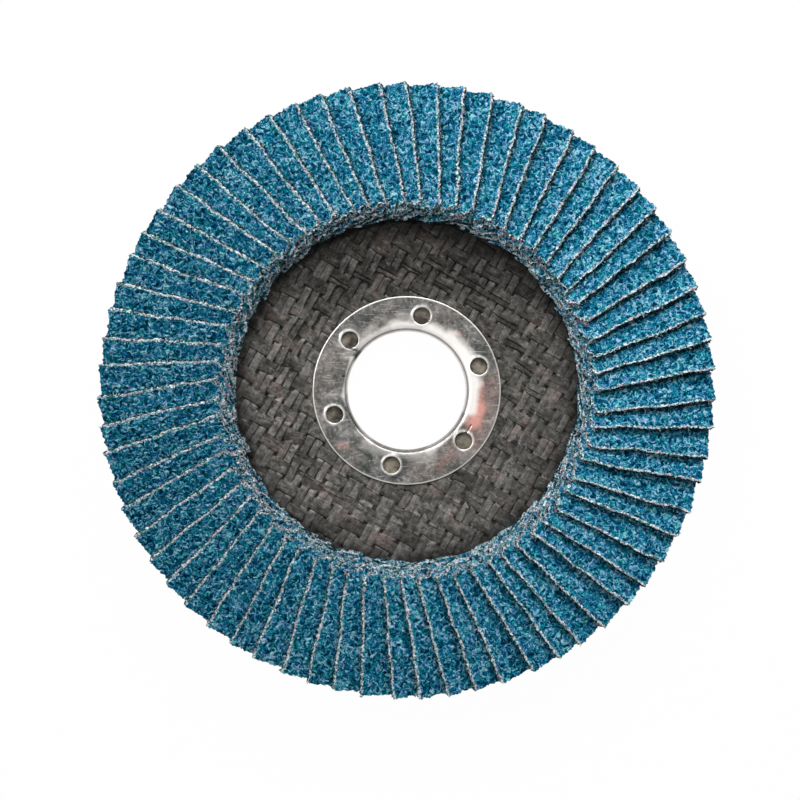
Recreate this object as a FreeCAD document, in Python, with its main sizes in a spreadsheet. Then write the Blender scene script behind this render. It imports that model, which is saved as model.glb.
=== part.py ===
import FreeCAD, Part
import Sketcher
import math
import os

# A 115 mm flap disc for an angle grinder, lying on the back of its hub.
# Origin: on the bore's axis, level with the back of the hub. +Z points to the abrasive side.

document = FreeCAD.newDocument("flap_disc")
sheet = document.addObject("Spreadsheet::Sheet", "Sizes")

SIZES = [
    # name, value, what it measures (mm, degrees or a count)
    ("bore_diameter", 22.23, "hole that the grinder's spindle flange fills"),
    ("ring_diameter", 35.5, "pressed steel ring round the bore, outside"),
    ("ring_sheet", 0.5, "thickness of the ring's steel sheet"),
    ("ring_bend", 0.7, "inside radius where the ring turns down into the bore"),
    ("ring_set_back", 0.2, "how far the ring's collar stops short of the hub's back"),
    ("ring_clearance", 0.05, "gap round the collar in the plate"),
    ("key_hole_count", 6, "small holes pierced through the ring's flange"),
    ("key_hole_diameter", 3.2, "each pierced hole"),
    ("key_hole_circle", 28.6, "diameter of the circle that they lie on"),
    ("key_hole_turn", 18.5, "angle of the first one from +X"),
    ("burr_width", 0.35, "raised rim round each pierced hole, across"),
    ("burr_height", 0.2, "the same rim, above the flange"),
    ("plate_diameter", 106.0, "pressed glass-fibre backing plate"),
    ("plate_thickness", 3.0, "the same plate, front to back"),
    ("plate_edge", 0.5, "bevel round the plate's rim, both sides"),
    ("hub_radius", 20.0, "flat of the hub, where the dish begins"),
    ("dish_radius", 27.5, "where the dish ends and the flat flange begins"),
    ("dish_rise", 1.8, "how far the flange stands in front of the hub"),
    ("dish_bend", 8.0, "radius of the two bends on the back of the dish"),
    ("tow_pitch_long", 3.5, "weave: step along the first set of tows"),
    ("tow_pitch_cross", 3.0, "weave: step from one tow of that set to the next"),
    ("tow_width_long", 2.55, "width of a tow of the first set"),
    ("tow_width_cross", 2.35, "width of a tow of the second set"),
    ("tow_slit", 0.24, "dark slit left between two floats"),
    ("tow_relief", 0.16, "how far a float stands out of the plate"),
    ("tow_shoulder", 0.22, "how far a float's top draws in from its foot"),
    ("tow_turn", -29.5, "direction of the first set of tows from +X"),
    ("bed_inner_radius", 33.2, "inner edge of the resin that holds the flaps"),
    ("bed_outer_radius", 52.2, "outer edge of that resin"),
    ("bed_thickness", 0.9, "depth of that resin on the plate"),
    ("flap_count", 67, "flaps round the disc"),
    ("flap_start", 34.35, "how far out a flap's cut edge begins"),
    ("flap_length", 23.4, "length of that cut edge"),
    ("flap_width", 16.0, "width of a flap, cut edge to heel"),
    ("flap_thickness", 1.1, "cloth, size coat and grain together"),
    ("flap_inner_slant", 12.0, "angle of a flap's inner end off square"),
    ("flap_outer_slant", 3.5, "angle of its outer end off square"),
    ("flap_gap", 0.05, "gap between two flaps where they lie closest"),
    ("flap_foot", 0.3, "how deep the heel is bedded flat on the resin"),
]

for row, (name, value, meaning) in enumerate(SIZES, start=1):
    sheet.set("A" + str(row), meaning)
    sheet.set("B" + str(row), str(value))
    sheet.setAlias("B" + str(row), name)
document.recompute()


def size(name):
    return float(getattr(sheet, name))


def value_of(thing, formula):
    """The number that a formula on the sheet gives at the moment."""
    result = thing.evalExpression(formula)
    return float(getattr(result, "Value", result))


def new_body(name):
    body = document.addObject("PartDesign::Body", name)
    body.Label = name
    return body


def new_sketch(body, name, plane):
    sketch = body.newObject("Sketcher::SketchObject", name)
    origin_plane = [item for item in body.Origin.OriginFeatures if item.Role == plane][0]
    sketch.AttachmentSupport = (origin_plane, "")
    sketch.MapMode = "FlatFace"
    return sketch


def hold(sketch, constraint, formula):
    """Bind the size of one constraint to a formula on the sheet."""
    index = sketch.addConstraint(constraint)
    sketch.setExpression("Constraints[" + str(index) + "]", formula)


def outline(sketch, corners):
    """Closed outline of straight lines; each corner is two formulas, across and up."""
    points = []
    for across, up in corners:
        points.append(FreeCAD.Vector(value_of(sketch, across), value_of(sketch, up), 0))
    last = len(points) - 1
    for number, point in enumerate(points):
        following = points[0] if number == last else points[number + 1]
        sketch.addGeometry(Part.LineSegment(point, following), False)
    for number in range(len(points)):
        following = 0 if number == last else number + 1
        sketch.addConstraint(Sketcher.Constraint("Coincident", number, 2, following, 1))
    for number, (across, up) in enumerate(corners):
        hold(sketch, Sketcher.Constraint("DistanceX", -1, 1, number, 1, points[number].x), across)
        hold(sketch, Sketcher.Constraint("DistanceY", -1, 1, number, 1, points[number].y), up)


def revolve(body, sketch, name):
    turned = body.newObject("PartDesign::Revolution", name)
    turned.Profile = sketch
    turned.ReferenceAxis = (sketch, ["V_Axis"])
    turned.Angle = 360.0
    return turned


def rings_at(shape, radius, height):
    """Names of the circular edges of a turned shape at this radius and height."""
    found = []
    for number, edge in enumerate(shape.Edges, start=1):
        curve = edge.Curve
        if not hasattr(curve, "Radius") or not hasattr(curve, "Center"):
            continue
        if abs(curve.Radius - radius) < 1e-4 and abs(curve.Center.z - height) < 1e-4:
            found.append("Edge" + str(number))
    return found


def dress_rings(body, base, kind, name, places, formula):
    """Round or chamfer the circular edges at the given places by a formula on the sheet."""
    edges = []
    for radius, height in places:
        edges += rings_at(base.Shape, radius, height)
    dressed = body.newObject("PartDesign::" + kind, name)
    dressed.Base = (base, edges)
    dressed.setExpression("Radius" if kind == "Fillet" else "Size", formula)
    document.recompute()
    return dressed


def polar_pattern(body, feature, name):
    """Repeat a feature of the ring round the bore's axis, once for each pierced hole."""
    pattern = body.newObject("PartDesign::PolarPattern", name)
    pattern.Originals = [feature]
    pattern.Axis = (feature.Profile[0], ["N_Axis"])
    pattern.Angle = 360.0
    pattern.setExpression("Occurrences", "Sizes.key_hole_count")
    body.Tip = pattern
    document.recompute()
    return pattern


# Backing plate: one pressed dish of glass cloth and resin, with its centre set back.

plate_body = new_body("plate_laminate")
plate_sketch = new_sketch(plate_body, "plate_section", "XZ_Plane")
hole = "(Sizes.bore_diameter / 2 + Sizes.ring_sheet + Sizes.ring_clearance)"
relief = "(Sizes.ring_bend + Sizes.ring_clearance)"
front_of_flange = "(Sizes.plate_thickness + Sizes.dish_rise)"
outline(plate_sketch, [
    (hole, "0"),
    ("Sizes.hub_radius", "0"),
    ("Sizes.dish_radius", "Sizes.dish_rise"),
    ("Sizes.plate_diameter / 2", "Sizes.dish_rise"),
    ("Sizes.plate_diameter / 2", front_of_flange),
    ("Sizes.dish_radius", front_of_flange),
    ("Sizes.hub_radius", "Sizes.plate_thickness"),
    (hole + " + " + relief, "Sizes.plate_thickness"),
    (hole, "Sizes.plate_thickness - " + relief),
])
plate_turned = revolve(plate_body, plate_sketch, "plate_turned")
document.recompute()
plate_front = size("plate_thickness") + size("dish_rise")
dish_bends = dress_rings(plate_body, plate_turned, "Fillet", "dish_bends", [
    (size("hub_radius"), 0.0),
    (size("dish_radius"), size("dish_rise")),
], "Sizes.dish_bend")
plate_rim = dress_rings(plate_body, dish_bends, "Chamfer", "plate_rim", [
    (size("plate_diameter") / 2, size("dish_rise")),
    (size("plate_diameter") / 2, plate_front),
], "Sizes.plate_edge")

# The cloth's weave shows on the front as flat floats: each tow passes over one and under the next.
# A float is a low block with drawn-in shoulders, sunk into the plate at its foot.


def add_float(name, length, width):
    """One float, centred on its crossing, with its foot sunk as deep as it stands out."""
    block = document.addObject("Part::Wedge", name)
    half_length = "(" + length + " - Sizes.tow_slit) / 2"
    half_width = "(" + width + " - Sizes.tow_slit) / 2"
    block.setExpression("Xmin", "-(" + half_length + ")")
    block.setExpression("Xmax", half_length)
    block.setExpression("Zmin", "-(" + half_width + ")")
    block.setExpression("Zmax", half_width)
    block.setExpression("Ymin", "-Sizes.tow_relief")
    block.setExpression("Ymax", "Sizes.tow_relief")
    block.setExpression("X2min", "-(" + half_length + ") + Sizes.tow_shoulder")
    block.setExpression("X2max", half_length + " - Sizes.tow_shoulder")
    block.setExpression("Z2min", "-(" + half_width + ") + Sizes.tow_shoulder")
    block.setExpression("Z2max", half_width + " - Sizes.tow_shoulder")
    return block


long_float = add_float("long_float", "(2 * Sizes.tow_pitch_long - Sizes.tow_width_cross)",
                       "Sizes.tow_width_long")
cross_float = add_float("cross_float", "(2 * Sizes.tow_pitch_cross - Sizes.tow_width_long)",
                        "Sizes.tow_width_cross")
document.recompute()


def front_of_plate(radius):
    """Height of the plate's front at this radius."""
    part_way = (radius - size("hub_radius")) / (size("dish_radius") - size("hub_radius"))
    return size("plate_thickness") + size("dish_rise") * min(max(part_way, 0.0), 1.0)


def crossing(step_long, step_cross):
    """Where two tows cross, and which way the float on top runs."""
    turn = FreeCAD.Rotation(FreeCAD.Vector(0, 0, 1), size("tow_turn"))
    spot = turn.multVec(FreeCAD.Vector(step_long * size("tow_pitch_long"),
                                       step_cross * size("tow_pitch_cross"), 0))
    reach = size("tow_pitch_long") / 2
    inner_height = front_of_plate(spot.Length - reach)
    outer_height = front_of_plate(spot.Length + reach)
    slope = math.degrees(math.atan2(outer_height - inner_height, 2 * reach))
    spot.z = (inner_height + 2 * front_of_plate(spot.Length) + outer_height) / 4
    runs_long = (step_long + step_cross) % 2 == 0
    flat = FreeCAD.Rotation(FreeCAD.Vector(1, 0, 0), 90)
    quarter = FreeCAD.Rotation(FreeCAD.Vector(0, 0, 1), 0 if runs_long else 90)
    outward = math.degrees(math.atan2(spot.y, spot.x))
    lean_axis = FreeCAD.Rotation(FreeCAD.Vector(0, 0, 1), outward).multVec(FreeCAD.Vector(0, 1, 0))
    lean = FreeCAD.Rotation(lean_axis, -slope)
    return FreeCAD.Placement(spot, lean.multiply(turn).multiply(quarter).multiply(flat)), runs_long


weave_inner = size("ring_diameter") / 2 + size("tow_slit")
weave_outer = size("bed_inner_radius") - size("tow_slit")
weave_band = Part.makeCylinder(weave_outer, 2 * plate_front)
weave_band = weave_band.cut(Part.makeCylinder(weave_inner, 2 * plate_front))
steps = int(1.5 * weave_outer / min(size("tow_pitch_long"), size("tow_pitch_cross")))
floats = []
for step_long in range(-steps, steps + 1):
    for step_cross in range(-steps, steps + 1):
        place, runs_long = crossing(step_long, step_cross)
        block = (long_float if runs_long else cross_float).Shape.copy()
        block.Placement = place
        radii = [math.hypot(corner.X, corner.Y) for corner in block.Vertexes]
        if max(radii) < weave_inner or min(radii) > weave_outer:
            continue
        if min(radii) < weave_inner + 0.1 or max(radii) > weave_outer:
            block = block.common(weave_band)
        floats += [solid for solid in block.Solids if solid.Volume > size("tow_relief") ** 2]
weave_floats = document.addObject("Part::Feature", "weave_floats")
weave_floats.Shape = Part.makeCompound(floats)

backing_plate = document.addObject("Part::Fuse", "backing_plate")
backing_plate.Label = "backing_plate"
backing_plate.Base = plate_body
backing_plate.Tool = weave_floats
document.recompute()

# Arbor ring: tinned sheet steel, turned down through the plate as a collar.

ring_body = new_body("arbor_ring")
ring_sketch = new_sketch(ring_body, "ring_section", "XZ_Plane")
ring_top = "(Sizes.plate_thickness + Sizes.ring_sheet)"
outline(ring_sketch, [
    ("Sizes.bore_diameter / 2", "Sizes.ring_set_back"),
    ("Sizes.bore_diameter / 2 + Sizes.ring_sheet", "Sizes.ring_set_back"),
    ("Sizes.bore_diameter / 2 + Sizes.ring_sheet", "Sizes.plate_thickness"),
    ("Sizes.ring_diameter / 2", "Sizes.plate_thickness"),
    ("Sizes.ring_diameter / 2", ring_top),
    ("Sizes.bore_diameter / 2", ring_top),
])
ring_turned = revolve(ring_body, ring_sketch, "ring_turned")
document.recompute()
ring_inside_bend = dress_rings(ring_body, ring_turned, "Fillet", "ring_inside_bend", [
    (size("bore_diameter") / 2 + size("ring_sheet"), size("plate_thickness")),
], "Sizes.ring_bend")
ring_lip = dress_rings(ring_body, ring_inside_bend, "Fillet", "ring_lip", [
    (size("bore_diameter") / 2, size("plate_thickness") + size("ring_sheet")),
], "Sizes.ring_bend + Sizes.ring_sheet")


def pierced_circle(name, diameter):
    """Sketch of one circle on the ring of pierced holes."""
    sketch = new_sketch(ring_body, name, "XY_Plane")
    across = "Sizes.key_hole_circle / 2 * cos(Sizes.key_hole_turn * 1 deg)"
    up = "Sizes.key_hole_circle / 2 * sin(Sizes.key_hole_turn * 1 deg)"
    centre = FreeCAD.Vector(value_of(sketch, across), value_of(sketch, up), 0)
    radius = value_of(sketch, diameter) / 2
    sketch.addGeometry(Part.Circle(centre, FreeCAD.Vector(0, 0, 1), radius), False)
    hold(sketch, Sketcher.Constraint("DistanceX", -1, 1, 0, 3, centre.x), across)
    hold(sketch, Sketcher.Constraint("DistanceY", -1, 1, 0, 3, centre.y), up)
    hold(sketch, Sketcher.Constraint("Diameter", 0, 2 * radius), diameter)
    return sketch


burr_sketch = pierced_circle("burr_circle", "Sizes.key_hole_diameter + 2 * Sizes.burr_width")
burr_sketch.setExpression("AttachmentOffset.Base.z", ring_top + " - Sizes.ring_sheet / 2")
burr = ring_body.newObject("PartDesign::Pad", "burr")
burr.Profile = burr_sketch
burr.setExpression("Length", "Sizes.burr_height + Sizes.ring_sheet / 2")
document.recompute()
burrs = polar_pattern(ring_body, burr, "burrs")

hole_sketch = pierced_circle("key_hole_circle", "Sizes.key_hole_diameter")
hole_sketch.setExpression("AttachmentOffset.Base.z", ring_top + " + 2 * Sizes.burr_height")
key_hole = ring_body.newObject("PartDesign::Pocket", "key_hole")
key_hole.Profile = hole_sketch
key_hole.Reversed = False
key_hole.setExpression("Length", "2 * Sizes.ring_sheet + 2 * Sizes.burr_height")
document.recompute()
before_holes = burrs.Shape.Volume
key_holes = polar_pattern(ring_body, key_hole, "key_holes")
pierced = math.pi * (size("key_hole_diameter") / 2) ** 2 * size("key_hole_count")
pierced *= size("ring_sheet") + size("burr_height")
if abs(before_holes - key_holes.Shape.Volume - pierced) > 0.02 * pierced:
    raise RuntimeError("the pierced holes didn't cut the ring")

# Resin bed: the cured adhesive between the plate's flange and the heels of the flaps.

bed_body = new_body("resin_bed")
bed_sketch = new_sketch(bed_body, "bed_section", "XZ_Plane")
bed_top = "(" + front_of_flange + " + Sizes.bed_thickness)"
outline(bed_sketch, [
    ("Sizes.bed_inner_radius", front_of_flange),
    ("Sizes.bed_outer_radius", front_of_flange),
    ("Sizes.bed_outer_radius", bed_top),
    ("Sizes.bed_inner_radius", bed_top),
])
revolve(bed_body, bed_sketch, "bed_turned")
document.recompute()

# Flaps: each lies on its clockwise neighbour and leans down to its heel in the resin.
# The lean is the one that lets the next flap clear it where the two are closest to the axis.

pitch = 360.0 / size("flap_count")
closest = size("flap_start") - size("flap_width") * math.tan(math.radians(size("flap_inner_slant")))
step = closest * math.sin(math.radians(pitch))
step -= size("flap_width") / 2 * (1 - math.cos(math.radians(pitch)))
lean = math.asin((size("flap_thickness") + size("flap_gap")) / step)
heel_drop = size("flap_width") / 2 * math.sin(lean) + size("flap_thickness") * math.cos(lean)
bed_height = plate_front + size("bed_thickness")

flap_body = new_body("flap_pattern")
flap_sketch = new_sketch(flap_body, "flap_outline", "XY_Plane")
inner_shift = "Sizes.flap_width * tan(Sizes.flap_inner_slant * 1 deg)"
outer_shift = "Sizes.flap_width * tan(Sizes.flap_outer_slant * 1 deg)"
far_end = "Sizes.flap_start + Sizes.flap_length"
outline(flap_sketch, [
    ("Sizes.flap_start", "-Sizes.flap_width / 2"),
    (far_end, "-Sizes.flap_width / 2"),
    (far_end + " - " + outer_shift, "Sizes.flap_width / 2"),
    ("Sizes.flap_start - " + inner_shift, "Sizes.flap_width / 2"),
])
flap_pad = flap_body.newObject("PartDesign::Pad", "flap_sheet")
flap_pad.Profile = flap_sketch
flap_pad.setExpression("Length", "Sizes.flap_thickness")
flap_pad.Reversed = True
document.recompute()

heel_edges = []
for number, edge in enumerate(flap_pad.Shape.Edges, start=1):
    middle = edge.CenterOfMass
    at_heel = abs(middle.y - size("flap_width") / 2) < 1e-6
    if at_heel and abs(middle.z + size("flap_thickness")) < 1e-6:
        heel_edges.append("Edge" + str(number))
heel_foot = flap_body.newObject("PartDesign::Chamfer", "heel_foot")
heel_foot.Base = (flap_pad, heel_edges)
heel_foot.ChamferType = "Two distances"
heel_foot.Size = size("flap_foot") / math.cos(lean)
heel_foot.Size2 = size("flap_foot") / math.sin(lean)
flap_body.Placement = FreeCAD.Placement(
    FreeCAD.Vector(0, 0, bed_height - size("flap_foot") + heel_drop),
    FreeCAD.Rotation(FreeCAD.Vector(1, 0, 0), -math.degrees(lean)))
document.recompute()
if heel_foot.Shape.BoundBox.ZMin > -size("flap_thickness") + 1e-6:
    raise RuntimeError("the flap has lost its underside")
lowest = flap_body.Shape.BoundBox.ZMin
if abs(lowest - bed_height) > 1e-3:
    heel_foot.Size, heel_foot.Size2 = heel_foot.Size2, heel_foot.Size
    document.recompute()


def add_flap(number):
    """One flap, turned to its place round the disc."""
    flap = document.addObject("App::Link", "flap_" + format(number, "02d"))
    flap.LinkedObject = flap_body
    flap.LinkTransform = True
    flap.Placement = FreeCAD.Placement(
        FreeCAD.Vector(0, 0, 0),
        FreeCAD.Rotation(FreeCAD.Vector(0, 0, 1), pitch * (number - 1)))
    return flap


# Two neighbouring flaps share one node, each a solid of its own.

flap_nodes = []
flap_total = int(size("flap_count"))
for first in range(1, flap_total + 1, 2):
    numbers = [number for number in (first, first + 1) if number <= flap_total]
    group = document.addObject("Part::Compound", "flaps_node_" + format(first, "02d"))
    group.Label = "flaps_" + "_".join(format(number, "02d") for number in numbers)
    group.Links = [add_flap(number) for number in numbers]
    flap_nodes.append(group)
document.recompute()

nodes = [backing_plate, ring_body, bed_body] + flap_nodes

for thing in document.Objects:
    if "Invalid" in thing.State or "Error" in thing.State:
        raise RuntimeError("failed: " + thing.Label)
for node in nodes:
    if node.Shape.isNull() or not node.Shape.isValid():
        raise RuntimeError("bad shape: " + node.Label)

os.makedirs("parts", exist_ok=True)
for node in nodes:
    node.Shape.exportStep("parts/" + node.Label + ".step")
    print(node.Label, len(node.Shape.Solids), "solids", round(node.Shape.Volume, 2), "mm3")
print("flap lean", round(math.degrees(lean), 2), "top", round(max(n.Shape.BoundBox.ZMax for n in nodes), 3))
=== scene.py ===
import math
from functools import partial

import bmesh
import bpy
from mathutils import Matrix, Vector, noise


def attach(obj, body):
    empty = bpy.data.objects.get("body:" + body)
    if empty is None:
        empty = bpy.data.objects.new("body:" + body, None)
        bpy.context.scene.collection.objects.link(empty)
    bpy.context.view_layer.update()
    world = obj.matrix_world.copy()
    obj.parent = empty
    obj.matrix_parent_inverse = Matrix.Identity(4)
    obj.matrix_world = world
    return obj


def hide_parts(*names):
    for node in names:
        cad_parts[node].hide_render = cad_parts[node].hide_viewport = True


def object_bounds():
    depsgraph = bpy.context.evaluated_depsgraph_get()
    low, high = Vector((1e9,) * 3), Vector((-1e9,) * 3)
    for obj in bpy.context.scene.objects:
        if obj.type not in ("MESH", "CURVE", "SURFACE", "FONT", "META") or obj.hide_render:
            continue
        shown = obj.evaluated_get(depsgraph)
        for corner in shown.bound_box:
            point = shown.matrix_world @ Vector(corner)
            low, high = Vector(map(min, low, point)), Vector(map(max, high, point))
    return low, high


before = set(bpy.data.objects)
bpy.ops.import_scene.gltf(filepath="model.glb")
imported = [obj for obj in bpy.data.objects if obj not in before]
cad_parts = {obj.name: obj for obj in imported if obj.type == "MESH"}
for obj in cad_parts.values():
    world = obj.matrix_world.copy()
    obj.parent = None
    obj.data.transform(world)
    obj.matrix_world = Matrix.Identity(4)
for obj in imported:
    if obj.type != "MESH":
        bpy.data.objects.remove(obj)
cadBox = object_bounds()  # the solids' own box, before anything is dressed
print("frame loaded:", len(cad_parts), "nodes")

mm = 0.001


def fromHex(text):  # screen colour to the linear numbers that shaders take
    parts = [int(text[i:i + 2], 16) / 255 for i in (0, 2, 4)]
    return tuple(p / 12.92 if p <= 0.04045 else ((p + 0.055) / 1.055) ** 2.4 for p in parts) + (1.0,)


def addNode(tree, kind, values=(), stops=(), **settings):  # "Math.ADD" is a Math node set to ADD
    kind, _, operation = kind.partition(".")
    if operation:
        settings["operation"] = operation
    families = ("ShaderNode", "GeometryNode", "FunctionNode")
    node = tree.nodes.new(next(family + kind for family in families if hasattr(bpy.types, family + kind)))
    for name, value in settings.items():
        setattr(node, name, value)
    shown = [socket for socket in node.inputs if socket.enabled]
    for key, value in values.items() if isinstance(values, dict) else enumerate(values):
        socket = shown[key] if isinstance(key, int) else next(s for s in shown if s.name == key)
        for item in value if isinstance(value, list) else [value]:
            if isinstance(item, bpy.types.Node):
                item = next(s for s in item.outputs if s.enabled)
            if isinstance(item, bpy.types.NodeSocket):
                tree.links.new(item, socket)
            else:
                socket.default_value = item
    while stops and len(node.color_ramp.elements) < len(stops):
        node.color_ramp.elements.new(0.5)
    for element, (position, tone) in zip(node.color_ramp.elements if stops else (), stops):
        element.position = position
        element.color = fromHex(tone)
    return node


def startMaterial(name):
    material = bpy.data.materials.new(name)
    material.use_nodes = True
    material.node_tree.nodes.clear()
    return material, partial(addNode, material.node_tree)


def inMillimetres(add):  # the object's own coordinates, so a noise of scale 2 has spots of half a millimetre
    return add("VectorMath.MULTIPLY", [add("TexCoord").outputs["Object"], (1000, 1000, 1000)])


def endMaterial(material, add, values):  # the surface takes its colour, gloss and bump
    add("OutputMaterial", {"Surface": add("BsdfPrincipled", values)})
    return material


def startTree(name, inputs):  # a geometry tree with its named inputs
    tree = bpy.data.node_groups.new(name, "GeometryNodeTree")
    tree.interface.new_socket("Geometry", in_out="OUTPUT", socket_type="NodeSocketGeometry")
    for kind, labels in inputs.items():
        for label in labels:
            tree.interface.new_socket(label, in_out="INPUT", socket_type="NodeSocket" + kind)
    return tree, partial(addNode, tree), tree.nodes.new("NodeGroupInput").outputs


def endTree(tree, last):
    tree.links.new(last.outputs[0], tree.nodes.new("NodeGroupOutput").inputs[0])
    return tree


def growPiece(name, tree, settings):  # runs the tree once and keeps the result as a plain mesh
    holder = bpy.data.objects.new(name, bpy.data.meshes.new(name))
    bpy.context.scene.collection.objects.link(holder)
    modifier = holder.modifiers.new("grow", "NODES")
    modifier.node_group = tree
    for socket in tree.interface.items_tree:
        if socket.in_out == "INPUT":  # the input "Start Radius" takes the value named startRadius
            modifier[socket.identifier] = settings[socket.name[0].lower() + socket.name[1:].replace(" ", "")]
    evaluated = holder.evaluated_get(bpy.context.evaluated_depsgraph_get())
    grown = bpy.data.meshes.new_from_object(evaluated)
    while len(grown.materials) > 1 and grown.materials[0] is None:
        grown.materials.pop(index=0)
    holder.modifiers.remove(modifier)
    holder.data = grown
    return holder


def addPiece(name, mesh, material):
    piece = bpy.data.objects.new(name, mesh)
    bpy.context.scene.collection.objects.link(piece)
    mesh.materials.append(material)
    return piece


flapPack = {  # sizes in mm, turns in degrees
    "flapCount": 67,
    "startRadius": 34.0,  # inner end of the free edge, from the axis
    "length": 23.45,
    "width": 16.0,
    "innerShift": 3.401,  # how far the inner end slants over the flap's width
    "outerShift": 0.979,
    "thickness": 1.08,
    "coatDepth": 0.5,  # grain and resin, the rest is cloth
    "lean": 23.68,
    "lift": 9.58,  # height of the flap's middle line
    "columns": 96, "rows": 30,
    "openWidth": 6.6,  # what the next flap leaves in sight
    "fineShare": 0.88,  # of the rows, those that lie in sight
    "relief": 0.34,  # depth of the grain
    "ragged": 0.55,  # how far the cut edge wanders in and out
    "wander": 0.55,
    "turnJitter": 0.45,  # either way
    "yawJitter": 0.55,
    "innerTear": 1.8,  # the inner ends are torn this much more
    "threads": 1.5,  # on a square millimetre of cut edge
    "threadSize": 0.78,
    "threadRadius": 0.05,
    "threadLine": ((0, 0, -0.06), (0.05, 0, 0.35), (0.42, 0.12, 0.5)),  # root, bend and tip of one thread
    "yawSeed": 5, "turnSeed": 9, "threadLeanSeed": 21, "threadSizeSeed": 22,
}


def grainCoat():  # blue ceramic grain in resin: light curls painted as highlight on the grain edges, navy pits that are the grain's dark tone with painted shade, a torn cream rim, and painted shade on the cut below it
    material, add = startMaterial("blue_ceramic_grain")
    place = inMillimetres(add)
    bend = add("TexNoise", {"Vector": place, "Scale": 0.9, "Detail": 1.0})
    shifted = add("VectorMath.SUBTRACT", [bend.outputs["Color"], (0.5, 0.5, 0.5)])
    curled = add("VectorMath.MULTIPLY_ADD", [shifted, (1.6, 1.6, 1.6), place])
    body = add("TexNoise", {"Vector": curled, "Scale": 1.5, "Roughness": 0.7})
    crystals = add("TexVoronoi", {"Vector": curled, "Scale": 1.8})
    facet = add("SeparateColor", [crystals.outputs["Color"]])
    height = add("Math.MULTIPLY_ADD", [facet, 0.34, add("Math.MULTIPLY", [body, 0.75])])
    # the curls lift the colour: painted highlight where grain edges would catch the light
    for scale, reach, weight in ((1.35, 0.08, 0.22), (0.85, 0.09, 0.24)):  # slim curls, then broad ones
        line = add("TexNoise", {"Vector": curled, "Scale": scale, "Detail": 0.5})
        away = add("Math.ABSOLUTE", [add("Math.SUBTRACT", [line, 0.5])])
        curls = add("MapRange", [away, 0.0, reach, 1.0, 0.0], interpolation_type="SMOOTHSTEP")
        height = add("Math.MULTIPLY_ADD", [curls, weight, height])
    # low values paint the pits navy, grain tone with painted shade; high values paint a light cyan highlight
    colour = add("ValToRGB", [height], stops=[
        (0.40, "00253c"), (0.52, "004f6e"), (0.64, "08779f"), (0.78, "389abd"), (0.95, "b0d6e8")])
    drift = add("TexNoise", {"Vector": place, "Scale": 0.7})
    for low, high, most, tone in ((0.50, 0.64, 0.28, "00837c"), (0.46, 0.34, 0.2, "3a62b4")):
        mask = add("MapRange", [drift, low, high, 0.0, most])
        colour = add("Mix", [mask, colour, fromHex(tone)], data_type="RGBA", blend_type="COLOR")

    # cream yarn at the open cuts, with pink and green dust on it, then painted shade on the cut below
    edge, tornEnd = (add("Attribute", attribute_name=name).outputs["Fac"] for name in ("edgeGap", "tornEnd"))
    endPatch = add("MapRange", [drift, 0.44, 0.56, 0.4, -0.5])
    nearEdge = add("Math.MULTIPLY_ADD", [tornEnd, endPatch, edge])
    jag = add("TexNoise", {"Vector": place, "Scale": 1.5, "Detail": 3.0, "Roughness": 0.75})
    jagged = add("Math.ADD", [add("MapRange", [jag, 0.32, 0.68, -0.85, 0.15]), nearEdge])
    yarn = add("TexNoise", {"Vector": place, "Scale": 2.2, "Roughness": 0.7})
    rim = add("ValToRGB", [yarn], stops=[
        (0.35, "123844"), (0.41, "8fb6c1"), (0.47, "d8ebf1"), (0.54, "f6fdff")])
    tint = add("TexNoise", {"Vector": place, "Scale": 1.3, "Detail": 1.0})
    for low, high, most, tone, blend in (
            (0.60, 0.68, 0.8, "eea4b6", "MULTIPLY"),
            (0.43, 0.37, 0.9, "268d80", "MIX")):
        mask = add("MapRange", [tint, low, high, 0.0, most])
        rim = add("Mix", [mask, rim, fromHex(tone)], data_type="RGBA", blend_type=blend)
    # painted shade: the cut face below the cream rim is darkened to stand in for the shadow beside the free
    # edge
    below = add("Math.SUBTRACT", [jagged, add("Math.MULTIPLY_ADD", [tornEnd, 0.15, -0.75])])
    cutShade = add("ValToRGB", [yarn], stops=[(0.42, "03151e"), (0.55, "17485a"), (0.67, "74999f")])
    for gap, start, full, layer in ((jagged, 0.14, 0.05, rim), (below, 0.0, -0.08, cutShade)):
        mask = add("MapRange", [gap, start, full, 0.0, 1.0])
        colour = add("Mix", [mask, colour, layer], data_type="RGBA")
    relief = add("Math.MULTIPLY_ADD", [crystals.outputs["Distance"], -0.9, height])
    return endMaterial(material, add, {
        "Base Color": colour,
        "Normal": add("Bump", {"Strength": 0.9, "Distance": 0.0003, "Height": relief}),
        "Roughness": add("MapRange", [body, 0.35, 0.65, 0.45, 0.75]),
        "Specular IOR Level": 0.03})


def clothReverse():  # back of the cloth: polyester weave soaked with dark blue-green resin
    material, add = startMaterial("resin_soaked_polyester")
    place = inMillimetres(add)
    weft = add("TexWave", {"Vector": place, "Scale": 1.2, "Distortion": 1.5, "Detail": 1.0})
    blot = add("TexNoise", {"Vector": place, "Scale": 1.1, "Detail": 3.0})
    shade = add("Math.MULTIPLY_ADD", [weft, 0.4, blot])
    return endMaterial(material, add, {
        "Base Color": add("ValToRGB", [shade], stops=[(0.4, "0c222b"), (0.7, "2b4c55"), (0.95, "7d8b8a")]),
        "Normal": add("Bump", {"Strength": 0.6, "Distance": 0.0001, "Height": shade}),
        "Roughness": 0.8})


def looseYarn():  # frayed polyester ends, near white, with pink and green dust
    material, add = startMaterial("frayed_yarn")
    place = inMillimetres(add)
    tint = add("TexNoise", {"Vector": place, "Scale": 1.1, "Detail": 1.0})
    return endMaterial(material, add, {
        "Base Color": add("ValToRGB", [tint], stops=[
            (0.38, "38a39e"), (0.44, "b4e0e4"), (0.50, "eefaff"), (0.60, "f8fdff"), (0.66, "ec93a8")]),
        "Roughness": 0.7})


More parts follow.
